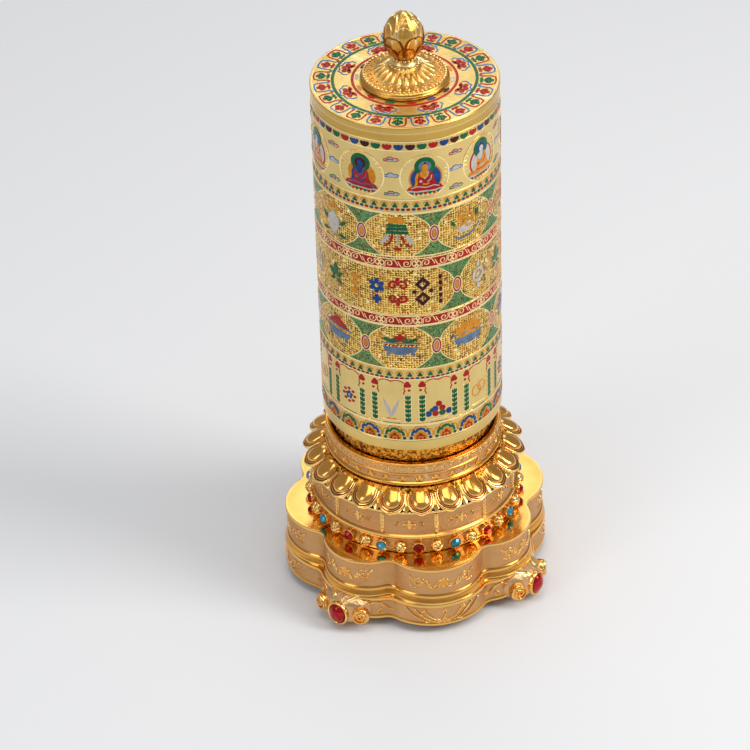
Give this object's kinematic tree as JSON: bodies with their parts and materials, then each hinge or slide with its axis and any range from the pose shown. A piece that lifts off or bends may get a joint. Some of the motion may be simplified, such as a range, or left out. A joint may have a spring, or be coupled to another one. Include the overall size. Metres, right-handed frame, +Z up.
{
  "type": "prayer wheel",
  "caption": "Desktop prayer wheel: an enamelled gold drum that turns on a spindle over a lobed, jewelled base with a lotus ring.",
  "frame": {"origin": "on the table under the spindle, at the middle of the base", "axes": "+Z up along the spindle; the wide lobes of the base face +X, +Y, -X and -Y and the four feet stand on the diagonals"},
  "size_m": [0.0998, 0.0998, 0.2363],
  "materials": {
    "rose_gold_casting": "warm gold plate over a cast base, sand-textured grounds and polished edges",
    "pale_gold_plate": "pale gold plate, fine sanded ground between the enamelled ornaments",
    "deep_gold_casting": "deep polished gold plate on the boss and finial",
    "red_glass": "clear red glass, faceted or domed",
    "aqua_glass": "clear aqua glass, faceted",
    "bright_steel": "turned steel",
    "plain_brass": "turned brass",
    "blacked_steel": "black lacquered sheet",
    "core_board": "wound board tube",
    "scroll_paper": "wound printed paper",
    "enamel_red": "glossy enamel",
    "enamel_green": "glossy enamel",
    "enamel_blue": "glossy enamel",
    "enamel_orange": "glossy enamel",
    "enamel_maroon": "glossy enamel",
    "enamel_pale": "glossy enamel",
    "enamel_sky": "glossy enamel"
  },
  "bodies": {
    "base": {"lower_plinth": "rose_gold_casting", "upper_plinth": "rose_gold_casting", "jewel_belt": "rose_gold_casting", "neck_band": "rose_gold_casting", "lotus_ring": "rose_gold_casting", "collar": "rose_gold_casting", "bottom_cover": "blacked_steel", "foot_cabochon_1": "red_glass", "foot_cabochon_2": "red_glass", "foot_cabochon_3": "red_glass", "foot_cabochon_4": "red_glass", "cover_screw_1": "bright_steel", "cover_screw_2": "bright_steel", "cover_screw_3": "bright_steel", "cover_screw_4": "bright_steel", "blue_stone_1": "aqua_glass", "red_stone_2": "red_glass", "blue_stone_3": "aqua_glass", "red_stone_4": "red_glass", "blue_stone_5": "aqua_glass", "red_stone_6": "red_glass", "blue_stone_7": "aqua_glass", "red_stone_8": "red_glass", "blue_stone_9": "aqua_glass", "red_stone_10": "red_glass", "blue_stone_11": "aqua_glass", "red_stone_12": "red_glass", "blue_stone_13": "aqua_glass", "red_stone_14": "red_glass", "blue_stone_15": "aqua_glass", "red_stone_16": "red_glass", "blue_stone_17": "aqua_glass", "red_stone_18": "red_glass", "carrier_plate": "bright_steel", "spindle": "bright_steel", "spindle_washer": "bright_steel", "spindle_nut": "bright_steel", "top_washer": "bright_steel", "lock_nut": "bright_steel", "lower_race": "bright_steel"},
    "drum": {"drum_floor": "pale_gold_plate", "drum_shell": "pale_gold_plate", "drum_lid": "pale_gold_plate", "lower_bush": "plain_brass", "upper_bush": "plain_brass", "top_disc": "plain_brass", "scroll_core": "core_board", "prayer_scroll": "scroll_paper", "upper_race": "bright_steel", "boss": "deep_gold_casting", "finial": "deep_gold_casting", "finial_stud": "bright_steel", "finial_nut": "bright_steel"},
    "ball_cage": {"ball_cage": "plain_brass", "ball_1": "bright_steel", "ball_2": "bright_steel", "ball_3": "bright_steel", "ball_4": "bright_steel", "ball_5": "bright_steel", "ball_6": "bright_steel"}
  },
  "joints": [
    {"name": "drum_spin", "type": "hinge", "parent": "base", "child": "drum", "pos_m": [0, 0, 0.0632], "axis": [0, 0, 1], "continuous": true},
    {"name": "ball_cage_spin", "type": "hinge", "parent": "base", "child": "ball_cage", "pos_m": [0, 0, 0.0589], "axis": [0, 0, 1], "continuous": true}
  ],
  "couplings": [
    {"joint": "ball_cage_spin", "follows": "drum_spin", "ratio": 0.5}
  ]
}
